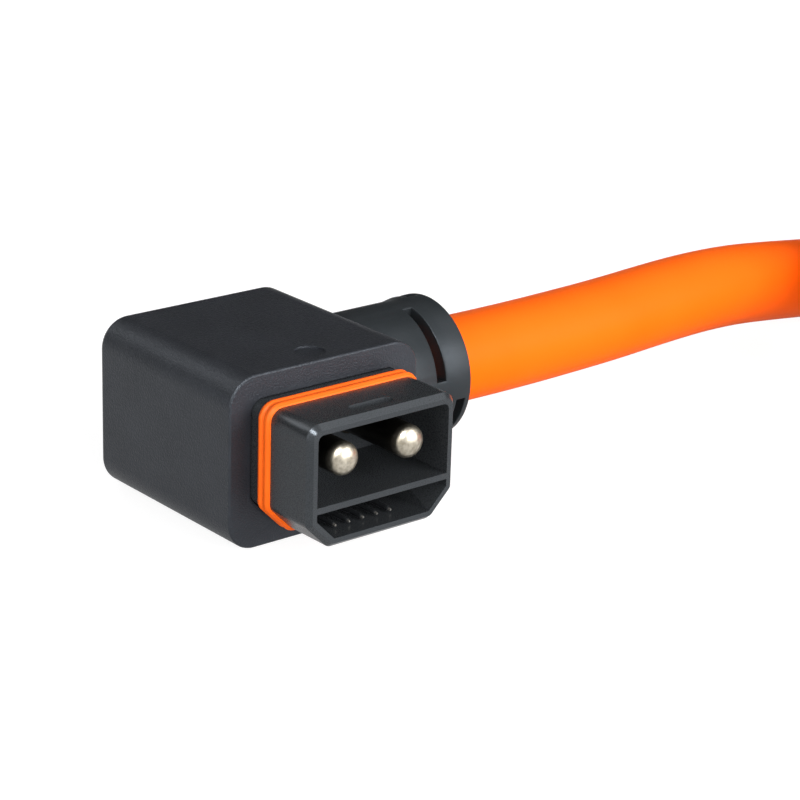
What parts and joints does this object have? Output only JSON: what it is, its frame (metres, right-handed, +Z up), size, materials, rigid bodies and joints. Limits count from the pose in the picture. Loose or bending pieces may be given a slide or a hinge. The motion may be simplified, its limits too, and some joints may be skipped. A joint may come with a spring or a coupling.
{
  "type": "right angle power plug",
  "caption": "Right angle power plug: square housing, keyed mating shroud with a sealing ring, and a free cable leaving from the side.",
  "frame": {"origin": "middle of the housing's flat underside", "axes": "+X along the cable as it leaves the housing, -Y in the direction the plug mates, +Z up"},
  "size_m": [0.2743, 0.1566, 0.0286],
  "materials": {
    "housing_plastic": "fine spark-eroded texture",
    "insert_plastic": "smooth satin",
    "retainer_plastic": "smooth",
    "seal_rubber": "smooth silicone",
    "silvered_brass": "silver plated, turned",
    "core_black": "smooth insulation",
    "core_red": "smooth insulation",
    "core_white": "smooth insulation",
    "clamp_steel": "zinc plated",
    "grommet_rubber": "matt silicone",
    "relief_plastic": "fine matt",
    "cable_jacket": "smooth satin jacket"
  },
  "bodies": {
    "root": {"housing": "housing_plastic", "contact_insert": "insert_plastic", "contact_retainer": "retainer_plastic", "seal_ring": "seal_rubber", "power_pin_left": "silvered_brass", "power_pin_right": "silvered_brass", "signal_contact_1": "silvered_brass", "signal_contact_2": "silvered_brass", "signal_contact_3": "silvered_brass", "signal_contact_4": "silvered_brass", "signal_contact_5": "silvered_brass", "power_core_left": "core_black", "power_core_right": "core_red", "signal_core_1": "core_white", "signal_core_2": "core_white", "signal_core_3": "core_white", "signal_core_4": "core_white", "signal_core_5": "core_white", "cable_clamp": "clamp_steel", "cable_grommet": "grommet_rubber", "strain_relief": "relief_plastic", "cable": "cable_jacket", "cable_coil": "cable_jacket"}
  },
  "joints": []
}
